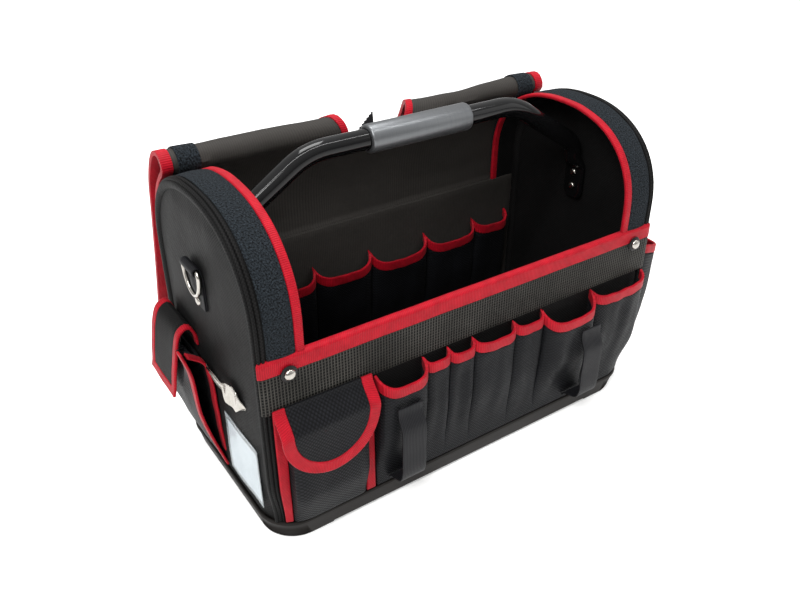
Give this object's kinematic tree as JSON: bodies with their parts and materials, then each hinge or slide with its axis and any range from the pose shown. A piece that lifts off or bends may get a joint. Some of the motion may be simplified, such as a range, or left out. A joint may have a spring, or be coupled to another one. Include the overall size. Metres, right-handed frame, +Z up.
{
  "type": "open tool bag",
  "caption": "Open tool bag with a moulded base, arched ends, steel tube handle, thrown-back lid and red-bound pockets on front, ends and inside.",
  "frame": {"origin": "centre of the base tray's underside, on the floor", "axes": "+X along the bag's length towards its right end, -Y towards the pocketed front, +Z up"},
  "size_m": [0.5006, 0.2948, 0.333],
  "materials": {
    "body_polyester": "black coated polyester, fine basket weave, slight sheen",
    "pocket_polyester": "black coated polyester, coarser square weave",
    "edge_binding": "bright red ribbed edge binding",
    "loop_pile": "black loop pile, matt and fuzzy",
    "netting": "black open ripstop netting with a fine grid",
    "webbing": "black woven webbing",
    "moulded_base": "dark grey moulded plastic, fine grain",
    "enamelled_tube": "gloss black enamel on steel tube",
    "grip_sleeve": "satin grey sleeve, finely brushed round",
    "black_washer": "black washer",
    "nickel": "bright nickel plating",
    "clear_vinyl": "clear vinyl over a plain pale insert"
  },
  "bodies": {
    "bag": {"back_wall": "body_polyester", "base_tray": "moulded_base", "edge_welt_left": "body_polyester", "edge_welt_right": "body_polyester", "end_panel_left": "body_polyester", "end_panel_right": "body_polyester", "flap_pocket_body": "pocket_polyester", "front_flap": "pocket_polyester", "front_flap_binding": "edge_binding", "front_pocket_binding": "edge_binding", "front_pocket_row": "pocket_polyester", "front_rivet_left": "nickel", "front_rivet_right": "nickel", "front_top_binding": "edge_binding", "front_wall": "body_polyester", "front_washer_left": "black_washer", "front_washer_right": "black_washer", "handle_grip": "grip_sleeve", "handle_rivet_left_lower": "nickel", "handle_rivet_left_upper": "nickel", "handle_rivet_right_lower": "nickel", "handle_rivet_right_upper": "nickel", "handle_tube": "enamelled_tube", "hood_binding_left": "edge_binding", "hood_binding_right": "edge_binding", "hood_left": "loop_pile", "hood_right": "loop_pile", "hook_strip_left": "loop_pile", "hook_strip_right": "loop_pile", "inside_pocket_binding": "edge_binding", "inside_pocket_cloth_1": "pocket_polyester", "inside_pocket_cloth_2": "pocket_polyester", "inside_pocket_cloth_3": "pocket_polyester", "inside_pocket_cloth_4": "pocket_polyester", "inside_pocket_cloth_5": "pocket_polyester", "inside_pocket_cloth_6": "pocket_polyester", "label_window": "clear_vinyl", "left_flap": "pocket_polyester", "left_flap_binding": "edge_binding", "left_pocket_inner": "pocket_polyester", "left_pocket_outer": "pocket_polyester", "left_pocket_tape_inner": "edge_binding", "left_pocket_tape_outer": "edge_binding", "level_strap_left": "webbing", "level_strap_right": "webbing", "lid": "body_polyester", "lid_edge_binding": "edge_binding", "lid_window_binding": "edge_binding", "mesh_band": "netting", "pouch_tape_left": "edge_binding", "pouch_tape_right": "edge_binding", "right_pocket": "pocket_polyester", "right_pocket_binding": "edge_binding", "ring_tab_left": "webbing", "ring_tab_right": "webbing", "tab_rivet_left": "nickel", "tab_rivet_right": "nickel", "tape_clip": "nickel"},
    "ring_left": {"d_ring_left": "nickel"},
    "ring_right": {"d_ring_right": "nickel"}
  },
  "joints": [
    {"name": "ring_left_swing", "type": "hinge", "parent": "bag", "child": "ring_left", "pos_m": [-0.2261, 0.007, 0.242], "axis": [0, 1, 0], "range_deg": [0, 170]},
    {"name": "ring_right_swing", "type": "hinge", "parent": "bag", "child": "ring_right", "pos_m": [0.2261, 0.007, 0.242], "axis": [0, -1, 0], "range_deg": [0, 170]}
  ]
}
